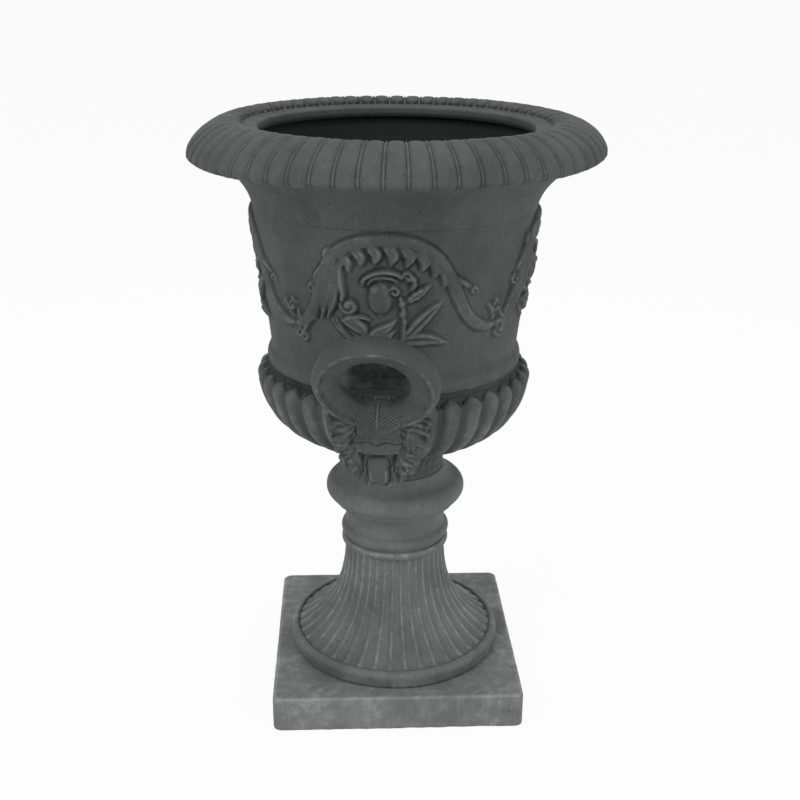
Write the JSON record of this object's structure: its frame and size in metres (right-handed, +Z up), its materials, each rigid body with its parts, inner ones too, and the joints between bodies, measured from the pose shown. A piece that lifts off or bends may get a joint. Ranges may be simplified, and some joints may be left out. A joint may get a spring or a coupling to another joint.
{
  "type": "urn planter",
  "caption": "Garden urn planter of dark washed cast stone: a gadrooned bowl with leaning ring handles on beast masks, a fluted pedestal and a square plinth.",
  "frame": {"origin": "centre of the plinth's underside, on the floor", "axes": "+Z up along the tie rod; -Y towards the plinth's front edge, the side that faces the camera in the picture; +X to the right of it"},
  "size_m": [0.413, 0.4318, 0.618],
  "materials": {
    "cast_stone": "matt cast stone under a worn dark grey wash",
    "mortar": "rough bedding mortar",
    "zinc_steel": "zinc plated"
  },
  "bodies": {
    "root": {"plinth": "cast_stone", "pedestal": "cast_stone", "bowl": "cast_stone", "front_ring_handle": "cast_stone", "rear_ring_handle": "cast_stone", "front_mask": "cast_stone", "rear_mask": "cast_stone", "mask_studs": "zinc_steel", "mask_stud_washers": "zinc_steel", "mask_stud_nuts": "zinc_steel", "centre_tie_rod": "zinc_steel", "upper_tie_washer": "zinc_steel", "upper_tie_nut": "zinc_steel", "lower_tie_washer": "zinc_steel", "lower_tie_nut": "zinc_steel", "foot_bedding_ring": "mortar", "neck_bedding_ring": "mortar"}
  },
  "joints": []
}
